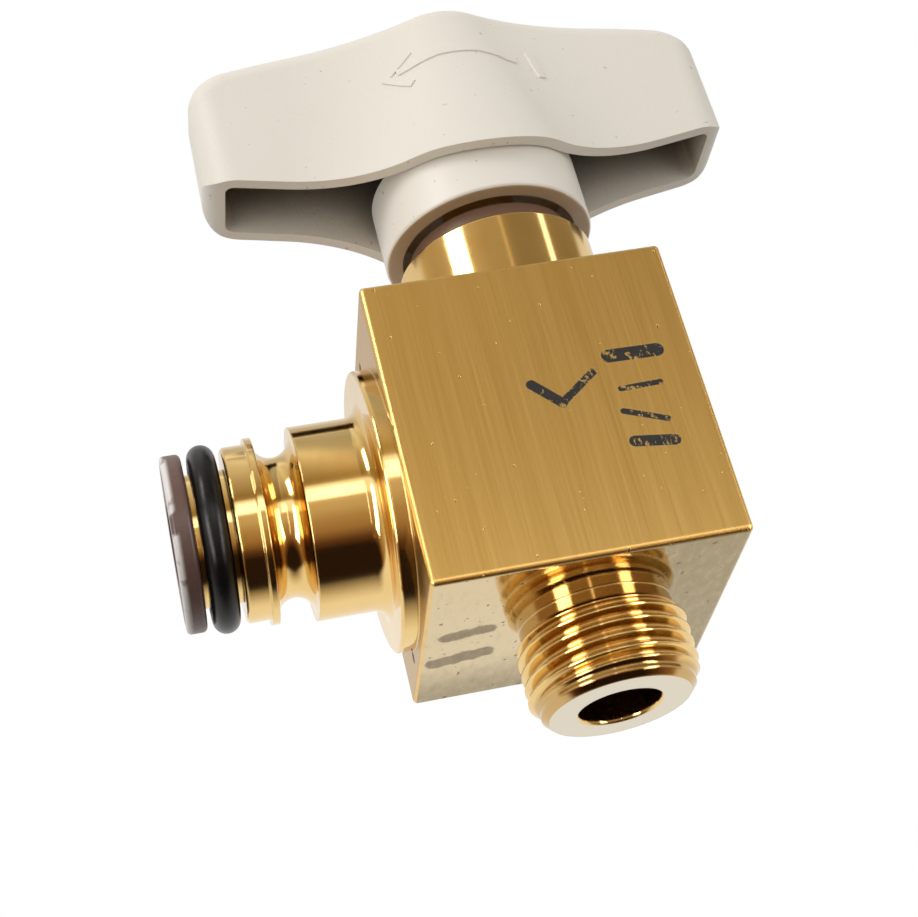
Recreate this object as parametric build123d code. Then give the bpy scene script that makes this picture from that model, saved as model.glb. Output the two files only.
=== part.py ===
"""Angle needle valve with a plug-in inlet spigot, a G 3/8 male outlet and a T-handle.

Millimetres. +Z runs up the stem towards the handle and the origin is the centre of the
outlet's end face. The inlet spigot points along -X and the block's front face along -Y.
"""
from build123d import *
from math import radians, tan
import os

# ---- driving dimensions -------------------------------------------------------------

# square-shouldered brass block
BLOCK_WIDTH = 30.0              # along X
BLOCK_DEPTH = 28.0              # along Y
BLOCK_HEIGHT = 32.0             # along Z
BLOCK_OFFSET = 2.0              # block centre to stem axis, towards the inlet
BLOCK_EDGE = 0.5                # rounding of the block's edges

# outlet: G 3/8 male thread with a flat sealing end
THREAD_DIAMETER = 16.66
THREAD_PITCH = 1.337
THREAD_DEPTH = 0.856
THREAD_ANGLE = 55.0
THREAD_CREST = 0.22             # flat on each crest
THREAD_START = 40.0             # where the groove begins, in degrees about Z
THREAD_CUT_OVERRUN = 1.15       # height of the groove's cutter over the thread's depth
OUTLET_LENGTH = 9.2
OUTLET_PILOT_LENGTH = 1.1       # plain ring in front of the thread
OUTLET_NECK_LENGTH = 1.1        # plain relief between thread and block
OUTLET_CORE_DIAMETER = 15.0     # pilot ring and neck, just over the thread's root
OUTLET_BORE = 8.0
OUTLET_CHAMFER = 0.6            # outer corner of the end face
OUTLET_MOUTH_EDGE = 0.2         # bevel of the bore's mouth

# inlet: plug-in spigot with a clip groove and an O-ring
INLET_DROP = 0.9                # inlet axis below the block's middle
DISC_DIAMETER = 27.8
DISC_THICKNESS = 1.7
DISC_EDGE = 0.35
SPIGOT_FILLET = 1.4
LAND_DIAMETER = 19.0
LAND_LENGTH = 6.9
CLIP_GROOVE_DIAMETER = 13.7
CLIP_GROOVE_WIDTH = 3.7
LIP_DIAMETER = 18.2
LIP_LENGTH = 0.7
GUIDE_DIAMETER = 17.1
GUIDE_LENGTH = 2.3
SPIGOT_EDGE = 0.25
INLET_RING_SECTION = 2.65
INLET_RING_BORE = 13.0
INLET_RING_ROOM = 1.15          # spare width of the O-ring's groove
INLET_BORE = 8.0

# nose sleeve in the spigot's mouth
NOSE_DIAMETER = 17.25
NOSE_THICKNESS = 2.0
NOSE_SHANK_DIAMETER = 10.6
NOSE_SHANK_LENGTH = 10.0
NOSE_EDGE = 0.5

# chamber and seat
CHAMBER_DIAMETER = 12.6
CHAMBER_FLOOR_DROP = 1.0        # floor of the chamber below the inlet passage
SEAT_DIAMETER = 10.6
SEAT_LENGTH = 6.0
SEAT_FLANGE_DIAMETER = 11.8
SEAT_FLANGE_THICKNESS = 1.0
SEAT_ORIFICE = 5.0
SEAT_CONE_LENGTH = 1.6
SEAT_RING_SECTION = 1.5
NEEDLE_HALF_ANGLE = 20.0
SEAT_GAP = 0.05                 # closed needle to seat, radially

# needle
NEEDLE_DIAMETER = 6.8
NEEDLE_HEIGHT = 4.7             # shoulder above the seat's top
NEEDLE_TIP_DIAMETER = 1.6
NEEDLE_NECK_DIAMETER = 4.0
NEEDLE_NECK_LENGTH = 1.8
NEEDLE_HEAD_DIAMETER = 6.4
NEEDLE_HEAD_LENGTH = 1.4
NEEDLE_RING_THICKNESS = 0.9
NEEDLE_RING_DIAMETER = 8.2
NEEDLE_RING_SLOT = 2.6

# spindle
STEM_HEAD_DIAMETER = 10.4
STEM_HEAD_HEIGHT = 5.5
STEM_THREAD_DIAMETER = 9.2      # pitch diameter of M10 x 1.25
STEM_THREAD_LENGTH = 7.0
STEM_PITCH = 1.25
STEM_DIAMETER = 8.0
STEM_SQUARE = 5.6
STEM_SQUARE_LENGTH = 6.1
STEM_EDGE = 0.4
STEM_RING_SECTION = 1.8
SEAL_BORE_GAP = 0.25            # bonnet bore round the spindle, radially
STEM_RING_STEP = 2.7            # from the lower O-ring to the upper
BACKUP_RING_THICKNESS = 0.8
THRUST_WASHER_THICKNESS = 0.5
HANDLE_TURN_DEGREES = 450.0     # closed to fully open

# bonnet
BONNET_DIAMETER = 20.7
BONNET_HEAD_HEIGHT = 8.9
BONNET_EDGE = 0.35
BONNET_THREAD_DIAMETER = 14.0
BONNET_NOSE_DIAMETER = 12.3
BONNET_NOSE_LENGTH = 2.0
BONNET_THREAD_LENGTH = 8.5
BONNET_RUNOUT = 0.5
BONNET_RECESS_DIAMETER = 10.9
BONNET_RING_SECTION = 1.3
BONNET_RING_BORE = 15.2

# guide bush in the bonnet's top
BUSH_SHANK_DIAMETER = 12.0
BUSH_SHANK_LENGTH = 2.0
BUSH_STEP_DIAMETER = 16.4
BUSH_STEP_HEIGHT = 0.8
BUSH_FLANGE_DIAMETER = 17.6
BUSH_FLANGE_THICKNESS = 1.6
BUSH_EDGE = 0.3

# handle skirt over the bonnet
SKIRT_GAP = 2.65                # skirt rim above the bonnet's shoulder
SKIRT_DIAMETER = 22.4
SKIRT_WALL = 1.75
SKIRT_HEIGHT = 8.0
SKIRT_WEB = 2.5
SKIRT_EDGE = 0.4

# T-handle
HANDLE_REST_ANGLE = 1.9         # closed handle against the block, about Z
HANDLE_LENGTH = 58.0            # along the lower edge
HANDLE_WIDTH = 10.8
HANDLE_HUB_DIAMETER = 26.0
HANDLE_CROWN_LENGTH = 57.4      # the same three at the top
HANDLE_CROWN_WIDTH = 8.4
HANDLE_CROWN_HUB_DIAMETER = 15.4
HANDLE_DROP = 4.3               # handle's lower edge above the skirt's rim
HANDLE_HEIGHT = 23.7
HANDLE_WALL = 1.3
HANDLE_END_WALL = 2.2
HANDLE_WAIST = 20.0             # blend between hub and wings at the lower edge, in plan
HANDLE_CROWN_WAIST = 32.0       # the same blend at the top
HANDLE_PLAN_CORNER = 4.0
HANDLE_CROWN_CORNER = 2.4
HANDLE_INNER_CORNER = 1.0
HANDLE_CORNER_SHARE = 0.45      # of a wing's width: the most that a plan corner takes
HANDLE_END_RISE = 5.5           # lower edge: rise from the middle to the ends
HANDLE_MIDDLE_BEND = 25.0       # lower edge: rounding of the bend in the middle
HANDLE_LOWER_CORNER = 2.6
HANDLE_TOP_FALL = 3.4           # top: fall from the middle to the ends
HANDLE_TOP_CORNER = 5.5
HANDLE_EDGE = 2.6
HUB_BOSS_DIAMETER = 14.0
HUB_SOCKET_DEPTH = 4.0
HUB_CLAMP_THICKNESS = 2.0
CAP_DIAMETER = 9.0
CAP_THICKNESS = 1.4
CAP_SKIRT_LENGTH = 2.0

# handle screw, M4
SCREW_DIAMETER = 4.0
SCREW_LENGTH = 12.0
SCREW_HEAD_DIAMETER = 7.0
SCREW_HEAD_HEIGHT = 2.6
SCREW_HEAD_EDGE = 0.85
SCREW_SLOT = 0.9
SCREW_THREAD_DEPTH = 11.0       # tapped hole in the spindle
WASHER_DIAMETER = 8.0
WASHER_THICKNESS = 0.8

# fits
RUNNING_GAP = 0.05              # radial, between pieces that turn or slide
FIT_GAP = 0.03                  # radial, between pieces that are assembled
FREE_GAP = 0.3                  # between moving pieces that never meet
AXIAL_GAP = 0.15                # endwise, between assembled pieces
TOUCH = 1e-4                    # two heights closer than this are the same

# ---- places worked out from them ----------------------------------------------------

block_bottom = OUTLET_LENGTH
block_top = block_bottom + BLOCK_HEIGHT
block_middle = block_bottom + BLOCK_HEIGHT / 2
inlet_z = block_middle - INLET_DROP
thread_bottom = OUTLET_PILOT_LENGTH
thread_top = OUTLET_LENGTH - OUTLET_NECK_LENGTH

# along the inlet axis, measured from the stem axis towards the spigot's end
inlet_face = BLOCK_OFFSET + BLOCK_WIDTH / 2
land_start = inlet_face + DISC_THICKNESS
clip_groove_start = land_start + LAND_LENGTH
lip_start = clip_groove_start + CLIP_GROOVE_WIDTH
guide_start = lip_start + LIP_LENGTH
ring_groove_start = guide_start + GUIDE_LENGTH
spigot_end = ring_groove_start + INLET_RING_SECTION + INLET_RING_ROOM
nose_end = spigot_end + NOSE_THICKNESS
nose_shank_end = spigot_end - NOSE_SHANK_LENGTH

chamber_floor = inlet_z - INLET_BORE / 2 - CHAMBER_FLOOR_DROP
needle_taper = tan(radians(NEEDLE_HALF_ANGLE))
seat_bottom = chamber_floor - SEAT_LENGTH
seat_top = chamber_floor + SEAT_FLANGE_THICKNESS
seat_throat = seat_top - SEAT_CONE_LENGTH
seat_ring_height = seat_bottom + SEAT_LENGTH / 2

needle_shoulder = seat_top + NEEDLE_HEIGHT
needle_head_bottom = needle_shoulder + NEEDLE_NECK_LENGTH
needle_head_top = needle_head_bottom + NEEDLE_HEAD_LENGTH
stem_bottom = needle_shoulder + FREE_GAP
needle_ring_bottom = needle_head_bottom - RUNNING_GAP - NEEDLE_RING_THICKNESS
stem_socket_top = needle_head_top + RUNNING_GAP
stem_head_top = stem_bottom + STEM_HEAD_HEIGHT
stem_thread_top = stem_head_top + STEM_THREAD_LENGTH
stem_lift = STEM_PITCH * HANDLE_TURN_DEGREES / 360

backseat = stem_head_top + THRUST_WASHER_THICKNESS + stem_lift + AXIAL_GAP
bonnet_relief_top = stem_thread_top + stem_lift + FREE_GAP
bonnet_thread_bottom = block_top - BONNET_THREAD_LENGTH
bonnet_bottom = bonnet_thread_bottom - BONNET_NOSE_LENGTH
bonnet_top = block_top + BONNET_HEAD_HEIGHT
bush_bottom = bonnet_top - BUSH_SHANK_LENGTH
bush_flange_bottom = bonnet_top + BUSH_STEP_HEIGHT
bush_top = bush_flange_bottom + BUSH_FLANGE_THICKNESS

seal_bore = STEM_DIAMETER + 2 * SEAL_BORE_GAP
stem_groove_floor = seal_bore - 2 * RUNNING_GAP - 2 * STEM_RING_SECTION
half_groove = STEM_RING_SECTION / 2 + AXIAL_GAP
lower_ring_height = bonnet_relief_top + half_groove
upper_ring_height = lower_ring_height + STEM_RING_STEP
backup_ring_bottom = upper_ring_height + half_groove
stem_grooves = [
    (lower_ring_height - half_groove, lower_ring_height + half_groove),
    (upper_ring_height - half_groove, backup_ring_bottom + BACKUP_RING_THICKNESS),
]

skirt_bottom = bonnet_top + SKIRT_GAP
skirt_top = skirt_bottom + SKIRT_HEIGHT
skirt_web_bottom = skirt_top - SKIRT_WEB
stem_shoulder = skirt_web_bottom
stem_top = stem_shoulder + STEM_SQUARE_LENGTH
handle_bottom = skirt_bottom + HANDLE_DROP
handle_top = handle_bottom + HANDLE_HEIGHT
clamp_bottom = skirt_top + HUB_SOCKET_DEPTH
clamp_top = clamp_bottom + HUB_CLAMP_THICKNESS
screw_seat = clamp_top + WASHER_THICKNESS
cap_bottom = handle_top - CAP_THICKNESS


# ---- helpers ------------------------------------------------------------------------

def rod(diameter, bottom, top):
    """Upright cylinder on the stem axis."""
    return extrude(Plane.XY.offset(bottom) * Circle(diameter / 2), top - bottom)


def tube(outer, inner, bottom, top):
    """Upright tube on the stem axis."""
    return rod(outer, bottom, top) - rod(inner, bottom, top)


def square_bar(width, bottom, top):
    """Upright square bar on the stem axis, in line with the closed handle."""
    outline = Rot(0, 0, HANDLE_REST_ANGLE) * Rectangle(width, width)
    return extrude(Plane.XY.offset(bottom) * outline, top - bottom)


def turned(corners):
    """Solid turned about the stem axis from (radius, height) corners."""
    return revolve(Plane.XZ * make_face(Polyline(*corners, close=True)), Axis.Z)


def ring_seal(bore, section, height):
    """O-ring of the given bore and section, round the stem axis."""
    profile = Plane.XZ * Pos((bore + section) / 2, height) * Circle(section / 2)
    return revolve(profile, Axis.Z)


def split_ring(outer, inner, slot, bottom, top):
    """Retaining ring with a slot on one side."""
    ring = tube(outer, inner, bottom, top)
    opening = Pos(outer / 2, 0, (bottom + top) / 2) * Box(outer, slot, 2 * (top - bottom))
    return ring - opening


def along_inlet(solid):
    """Lay a solid built about +Z on the inlet axis, so that +Z becomes the inlet's -X."""
    return Pos(0, 0, inlet_z) * Rot(0, -90, 0) * solid


# ---- brass body ---------------------------------------------------------------------

def outlet_thread():
    """Outlet's threaded stretch: a rod with chamfered ends and a helical V-groove."""
    root = THREAD_DIAMETER / 2 - THREAD_DEPTH
    flank = tan(radians(THREAD_ANGLE / 2))
    mouth = THREAD_PITCH / 2 - THREAD_CREST / 2
    floor = mouth - THREAD_DEPTH * flank
    reach = THREAD_CUT_OVERRUN * THREAD_DEPTH
    groove = Polyline(
        (root, -floor),
        (root + reach, -floor - reach * flank),
        (root + reach, floor + reach * flank),
        (root, floor),
        close=True,
    )
    path = Helix(THREAD_PITCH, thread_top - thread_bottom + 2 * THREAD_PITCH, root)
    cutter = sweep(Plane.XZ * make_face(groove), path=path, is_frenet=True)
    blank = rod(THREAD_DIAMETER, thread_bottom, thread_top)
    thread = blank - Pos(0, 0, thread_bottom - THREAD_PITCH) * Rot(0, 0, THREAD_START) * cutter
    for end, inwards in ((thread_bottom, 1), (thread_top, -1)):
        thread -= turned([
            (root, end - inwards * THREAD_DEPTH),
            (root, end),
            (root + 2 * THREAD_DEPTH, end + inwards * 2 * THREAD_DEPTH),
            (root + 2 * THREAD_DEPTH, end - inwards * THREAD_DEPTH),
        ])
    return thread


def spigot():
    """Inlet disc, lands and grooves, turned along the inlet axis."""
    steps = [
        (DISC_DIAMETER, inlet_face, land_start),
        (LAND_DIAMETER, land_start, clip_groove_start),
        (LIP_DIAMETER, clip_groove_start, guide_start),
        (GUIDE_DIAMETER, guide_start, ring_groove_start),
        (INLET_RING_BORE, ring_groove_start, spigot_end),
    ]
    shape = rod(LAND_DIAMETER, 0, inlet_face)
    for diameter, start, end in steps:
        shape += rod(diameter, start, end)
    face_edges = [edge for edge in shape.edges().filter_by(GeomType.CIRCLE)
                  if abs(edge.center().Z - land_start) < TOUCH]
    disc_rim = [edge for edge in face_edges if edge.radius > DISC_DIAMETER / 2 - TOUCH]
    shape = fillet(disc_rim, DISC_EDGE)
    corner = [edge for edge in shape.edges().filter_by(GeomType.CIRCLE)
              if abs(edge.center().Z - land_start) < TOUCH and edge.radius < LAND_DIAMETER / 2 + TOUCH]
    shape = fillet(corner, SPIGOT_FILLET)
    rim = [edge for edge in shape.edges().filter_by(GeomType.CIRCLE)
           if abs(edge.center().Z - ring_groove_start) < TOUCH and edge.radius > INLET_RING_BORE / 2 + TOUCH]
    shape = chamfer(rim, SPIGOT_EDGE)
    round_radius = CLIP_GROOVE_WIDTH / 2
    middle = clip_groove_start + round_radius
    floor_centre = CLIP_GROOVE_DIAMETER / 2 + round_radius
    groove = Plane.XZ * (
        Pos(floor_centre, middle) * Circle(round_radius)
        + Pos(floor_centre + LAND_DIAMETER / 2, middle) * Rectangle(LAND_DIAMETER, CLIP_GROOVE_WIDTH)
    )
    return along_inlet(shape - revolve(groove, Axis.Z))


def valve_body():
    """Block, threaded outlet and inlet spigot in one piece, with its passages."""
    block = Pos(-BLOCK_OFFSET, 0, block_middle) * Box(BLOCK_WIDTH, BLOCK_DEPTH, BLOCK_HEIGHT)
    block = fillet(block.edges(), BLOCK_EDGE)
    core = rod(OUTLET_CORE_DIAMETER, 0, inlet_z)
    core = chamfer(core.edges().filter_by(GeomType.CIRCLE).group_by(Axis.Z)[0], OUTLET_CHAMFER)
    body = block + spigot() + core + outlet_thread()
    outlet_hole = rod(OUTLET_BORE, 0, seat_bottom)
    mouth_radius = OUTLET_BORE / 2 + OUTLET_MOUTH_EDGE
    mouth = turned([(0, 0), (mouth_radius, 0), (0, mouth_radius)])
    seat_hole = rod(SEAT_DIAMETER, seat_bottom, chamber_floor)
    chamber = rod(CHAMBER_DIAMETER, chamber_floor, block_top)
    bonnet_hole = rod(BONNET_THREAD_DIAMETER, bonnet_thread_bottom - BONNET_RUNOUT, block_top)
    inlet_hole = along_inlet(rod(INLET_BORE, 0, nose_end) + rod(NOSE_SHANK_DIAMETER, nose_shank_end, nose_end))
    return body - outlet_hole - mouth - seat_hole - chamber - bonnet_hole - inlet_hole


# ---- seat and needle ----------------------------------------------------------------

def seat_insert():
    """Flanged seat with a conical face and a seal groove."""
    radius = SEAT_DIAMETER / 2 - FIT_GAP
    groove_radius = SEAT_DIAMETER / 2 - SEAT_RING_SECTION
    half_groove = SEAT_RING_SECTION / 2 + AXIAL_GAP
    cone_radius = SEAT_ORIFICE / 2 + SEAT_CONE_LENGTH * needle_taper
    return turned([
        (SEAT_ORIFICE / 2, seat_bottom),
        (radius, seat_bottom),
        (radius, seat_ring_height - half_groove),
        (groove_radius, seat_ring_height - half_groove),
        (groove_radius, seat_ring_height + half_groove),
        (radius, seat_ring_height + half_groove),
        (radius, chamber_floor),
        (SEAT_FLANGE_DIAMETER / 2, chamber_floor),
        (SEAT_FLANGE_DIAMETER / 2, seat_top),
        (cone_radius, seat_top),
        (SEAT_ORIFICE / 2, seat_throat),
    ])


def seat_o_ring():
    """Seal in the seat's groove."""
    return ring_seal(SEAT_DIAMETER - 2 * SEAT_RING_SECTION, SEAT_RING_SECTION, seat_ring_height)


def needle():
    """Tapered needle with a neck and a head that swivels in the spindle."""
    throat_radius = SEAT_ORIFICE / 2 - SEAT_GAP
    tip_radius = NEEDLE_TIP_DIAMETER / 2
    tip_z = seat_throat - (throat_radius - tip_radius) / needle_taper
    body_radius = NEEDLE_DIAMETER / 2
    taper_top = seat_throat + (body_radius - throat_radius) / needle_taper
    return turned([
        (0, tip_z),
        (tip_radius, tip_z),
        (body_radius, taper_top),
        (body_radius, needle_shoulder),
        (NEEDLE_NECK_DIAMETER / 2, needle_shoulder),
        (NEEDLE_NECK_DIAMETER / 2, needle_head_bottom),
        (NEEDLE_HEAD_DIAMETER / 2, needle_head_bottom),
        (NEEDLE_HEAD_DIAMETER / 2, needle_head_top),
        (0, needle_head_top),
    ])


def needle_retaining_ring():
    """Split ring in the spindle's socket that holds the needle's head."""
    outer = NEEDLE_RING_DIAMETER - 2 * FIT_GAP
    inner = NEEDLE_NECK_DIAMETER + 2 * AXIAL_GAP
    top = needle_ring_bottom + NEEDLE_RING_THICKNESS
    return split_ring(outer, inner, NEEDLE_RING_SLOT, needle_ring_bottom, top)


# ---- spindle ------------------------------------------------------------------------

def spindle():
    """Spindle: head with the needle's socket, thread, seal grooves and square."""
    corners = [
        (0, stem_bottom),
        (STEM_HEAD_DIAMETER / 2, stem_bottom),
        (STEM_HEAD_DIAMETER / 2, stem_head_top),
        (STEM_THREAD_DIAMETER / 2, stem_head_top),
        (STEM_THREAD_DIAMETER / 2, stem_thread_top),
        (STEM_DIAMETER / 2, stem_thread_top),
        (STEM_DIAMETER / 2, stem_shoulder),
        (0, stem_shoulder),
    ]
    shape = turned(corners)
    shape = chamfer(shape.edges().filter_by(GeomType.CIRCLE).group_by(Axis.Z)[0], STEM_EDGE)
    for groove_bottom, groove_top in stem_grooves:
        shape -= tube(2 * STEM_DIAMETER, stem_groove_floor, groove_bottom, groove_top)
    shape += square_bar(STEM_SQUARE, stem_shoulder, stem_top)
    shape -= rod(NEEDLE_HEAD_DIAMETER + 2 * RUNNING_GAP, stem_bottom, stem_socket_top)
    ring_top = needle_ring_bottom + NEEDLE_RING_THICKNESS
    shape -= rod(NEEDLE_RING_DIAMETER, needle_ring_bottom, ring_top)
    return shape - rod(SCREW_DIAMETER, stem_top - SCREW_THREAD_DEPTH, stem_top)


def stem_o_ring(height):
    """Spindle seal, drawn just clear of the bonnet's bore."""
    return ring_seal(stem_groove_floor, STEM_RING_SECTION, height)


def stem_backup_ring():
    """Anti-extrusion ring above the upper seal."""
    top = backup_ring_bottom + BACKUP_RING_THICKNESS
    return tube(seal_bore - 2 * RUNNING_GAP, stem_groove_floor, backup_ring_bottom, top)


def stem_thrust_washer():
    """Washer on the spindle's head that meets the bonnet when fully open."""
    bore = STEM_THREAD_DIAMETER + 2 * FIT_GAP
    return tube(STEM_HEAD_DIAMETER, bore, stem_head_top, stem_head_top + THRUST_WASHER_THICKNESS)


# ---- bonnet -------------------------------------------------------------------------

def bonnet():
    """Screwed-in bonnet: turned head, thread, nose and the spindle's bores."""
    head = rod(BONNET_DIAMETER, block_top, bonnet_top)
    head = fillet(head.edges().filter_by(GeomType.CIRCLE).group_by(Axis.Z)[-1], BONNET_EDGE)
    thread = rod(BONNET_THREAD_DIAMETER - 2 * FIT_GAP, bonnet_thread_bottom, block_top)
    nose = rod(BONNET_NOSE_DIAMETER, bonnet_bottom, bonnet_thread_bottom)
    shape = head + thread + nose
    shape -= rod(BONNET_RECESS_DIAMETER, bonnet_bottom, backseat)
    shape -= rod(STEM_THREAD_DIAMETER + 2 * RUNNING_GAP, backseat, bonnet_relief_top)
    shape -= rod(seal_bore, bonnet_relief_top, bush_bottom)
    shape -= rod(BUSH_SHANK_DIAMETER, bush_bottom, bonnet_top)
    groove_outer = BONNET_RING_BORE + 2 * BONNET_RING_SECTION + 2 * FIT_GAP
    groove_top = block_top + BONNET_RING_SECTION
    return shape - tube(groove_outer, BONNET_RING_BORE - 2 * FIT_GAP, block_top, groove_top)


def bonnet_o_ring():
    """Seal under the bonnet's head."""
    return ring_seal(BONNET_RING_BORE, BONNET_RING_SECTION, block_top + BONNET_RING_SECTION / 2)


def guide_bush():
    """Flanged plastic bush that guides the spindle at the top of the bonnet."""
    bore = STEM_DIAMETER / 2 + RUNNING_GAP
    shape = turned([
        (bore, bush_bottom),
        (BUSH_SHANK_DIAMETER / 2 - FIT_GAP, bush_bottom),
        (BUSH_SHANK_DIAMETER / 2 - FIT_GAP, bonnet_top),
        (BUSH_STEP_DIAMETER / 2, bonnet_top),
        (BUSH_STEP_DIAMETER / 2, bush_flange_bottom),
        (BUSH_FLANGE_DIAMETER / 2, bush_flange_bottom),
        (BUSH_FLANGE_DIAMETER / 2, bush_top),
        (bore, bush_top),
    ])
    rims = [edge for edge in shape.edges().filter_by(GeomType.CIRCLE)
            if abs(edge.radius - BUSH_FLANGE_DIAMETER / 2) < TOUCH]
    return fillet(rims, BUSH_EDGE)


# ---- inlet pieces -------------------------------------------------------------------

def inlet_o_ring():
    """Black seal in the spigot's end groove."""
    middle = ring_groove_start + (INLET_RING_SECTION + INLET_RING_ROOM) / 2
    return along_inlet(ring_seal(INLET_RING_BORE, INLET_RING_SECTION, middle))


def inlet_nose_sleeve():
    """Brown plastic sleeve whose flange closes the O-ring's groove."""
    flange = rod(NOSE_DIAMETER, spigot_end, nose_end)
    flange = fillet(flange.edges().filter_by(GeomType.CIRCLE), NOSE_EDGE)
    shank = rod(NOSE_SHANK_DIAMETER - 2 * FIT_GAP, nose_shank_end, nose_end - NOSE_EDGE)
    return along_inlet(flange + shank - rod(INLET_BORE, nose_shank_end, nose_end))


# ---- handle -------------------------------------------------------------------------

def handle_skirt():
    """Smooth cup between the handle and the bonnet, driven by the spindle's square."""
    cup = rod(SKIRT_DIAMETER, skirt_bottom, skirt_top)
    cup = fillet(cup.edges().filter_by(GeomType.CIRCLE), SKIRT_EDGE)
    inside = rod(SKIRT_DIAMETER - 2 * SKIRT_WALL, skirt_bottom, skirt_web_bottom)
    return cup - inside - square_bar(STEM_SQUARE + 2 * FIT_GAP, skirt_web_bottom, skirt_top)


def handle_plan(length, width, hub, corner, waist):
    """Outline of the handle seen from above: a hub circle between two wings."""
    rounding = min(corner, HANDLE_CORNER_SHARE * width)
    outline = RectangleRounded(length, width, rounding) + Circle(hub / 2)
    waists = [point for point in outline.vertices() if abs(point.X) < hub / 2]
    return fillet(waists, waist)


def handle_elevation(wall, end_wall, floor, lower_corner):
    """Outline of the handle seen from the front, from the given lower edge upwards."""
    half = HANDLE_LENGTH / 2 - end_wall
    crown = handle_top - wall
    shoulder = crown - HANDLE_TOP_FALL
    end_floor = floor + HANDLE_END_RISE
    edges = (
        Polyline((-half, shoulder), (-half, end_floor), (0, floor), (half, end_floor), (half, shoulder))
        + ThreePointArc((half, shoulder), (0, crown), (-half, shoulder))
    )
    outline = make_face(edges)
    outline = fillet(outline.vertices().group_by(Axis.Y)[-1], HANDLE_TOP_CORNER - wall)
    outline = fillet(outline.vertices().group_by(Axis.Y)[0], HANDLE_MIDDLE_BEND)
    ends = [point for point in outline.vertices() if abs(point.Y - end_floor) < TOUCH]
    return fillet(ends, lower_corner)


def handle_form(wall, end_wall, floor, lower_corner, upper_corner, end_corner):
    """Tapered plan shape cut to the front elevation."""
    lower = Plane.XY.offset(handle_bottom) * handle_plan(
        HANDLE_LENGTH - 2 * end_wall,
        HANDLE_WIDTH - 2 * wall,
        HANDLE_HUB_DIAMETER - 2 * wall,
        lower_corner,
        HANDLE_WAIST + wall,
    )
    upper = Plane.XY.offset(handle_top) * handle_plan(
        HANDLE_CROWN_LENGTH - 2 * end_wall,
        HANDLE_CROWN_WIDTH - 2 * wall,
        HANDLE_CROWN_HUB_DIAMETER - 2 * wall,
        upper_corner,
        HANDLE_CROWN_WAIST + wall,
    )
    prism = loft([lower.face(), upper.face()], ruled=True)
    elevation = Plane.XZ * handle_elevation(wall, end_wall, floor, end_corner)
    return prism & extrude(elevation, HANDLE_LENGTH, both=True)


def handle():
    """Hollow T-handle with a hub boss, square socket and screw recess."""
    shell = handle_form(0, 0, handle_bottom, HANDLE_PLAN_CORNER, HANDLE_CROWN_CORNER, HANDLE_LOWER_CORNER)
    crown_edges = [edge for edge in shell.edges() if edge.center().Z > handle_top - HANDLE_TOP_CORNER]
    shell = fillet(crown_edges, HANDLE_EDGE)
    hollow_floor = handle_bottom - 2 * HANDLE_WALL
    inner = HANDLE_INNER_CORNER
    shell -= handle_form(HANDLE_WALL, HANDLE_END_WALL, hollow_floor, inner, inner, inner)
    shell += rod(HUB_BOSS_DIAMETER, skirt_top, handle_top - HANDLE_WALL)
    shell -= rod(SKIRT_DIAMETER + 2 * FIT_GAP, handle_bottom - HANDLE_WALL, skirt_top)
    shell -= rod(CAP_DIAMETER, clamp_top, handle_top)
    shell -= rod(SCREW_DIAMETER + FREE_GAP, clamp_bottom, clamp_top)
    turned_shell = Rot(0, 0, HANDLE_REST_ANGLE) * shell
    return turned_shell - square_bar(STEM_SQUARE + 2 * FIT_GAP, skirt_top, clamp_bottom)


def handle_washer():
    """Washer under the handle screw's head."""
    return tube(WASHER_DIAMETER, SCREW_DIAMETER + FREE_GAP, clamp_top, screw_seat)


def handle_screw():
    """Slotted screw that clamps the handle to the spindle."""
    head_top = screw_seat + SCREW_HEAD_HEIGHT
    head = rod(SCREW_HEAD_DIAMETER, screw_seat, head_top)
    head = fillet(head.edges().filter_by(GeomType.CIRCLE).group_by(Axis.Z)[-1], SCREW_HEAD_EDGE)
    slot = Pos(0, 0, head_top) * Box(2 * SCREW_HEAD_DIAMETER, SCREW_SLOT, SCREW_HEAD_HEIGHT)
    shank = rod(SCREW_DIAMETER - 2 * FIT_GAP, screw_seat - SCREW_LENGTH, screw_seat)
    return head + shank - slot


def handle_cap():
    """Plug that closes the screw's recess flush with the handle's top."""
    plug = rod(CAP_DIAMETER - 2 * FIT_GAP, cap_bottom - CAP_SKIRT_LENGTH, handle_top)
    hollow = rod(CAP_DIAMETER - 2 * CAP_THICKNESS, cap_bottom - CAP_SKIRT_LENGTH, cap_bottom)
    return plug - hollow


# ---- parts --------------------------------------------------------------------------

PIECES = {
    "valve_body": valve_body(),
    "seat_insert": seat_insert(),
    "seat_o_ring": seat_o_ring(),
    "bonnet": bonnet(),
    "bonnet_o_ring": bonnet_o_ring(),
    "guide_bush": guide_bush(),
    "inlet_o_ring": inlet_o_ring(),
    "inlet_nose_sleeve": inlet_nose_sleeve(),
    "needle": needle(),
    "needle_retaining_ring": needle_retaining_ring(),
    "spindle": spindle(),
    "stem_thrust_washer": stem_thrust_washer(),
    "stem_o_ring_lower": stem_o_ring(lower_ring_height),
    "stem_o_ring_upper": stem_o_ring(upper_ring_height),
    "stem_backup_ring": stem_backup_ring(),
    "handle_skirt": handle_skirt(),
    "handle": handle(),
    "handle_washer": handle_washer(),
    "handle_screw": handle_screw(),
    "handle_cap": handle_cap(),
}

os.makedirs("parts", exist_ok=True)
for name, solid in PIECES.items():
    export_step(solid, f"parts/{name}.step")
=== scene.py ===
"""Needle valve: camera, studio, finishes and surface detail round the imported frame. Metres."""
import bpy
from math import cos, pi, radians, sin
from mathutils import Matrix, Vector
from mathutils.bvhtree import BVHTree


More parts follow.
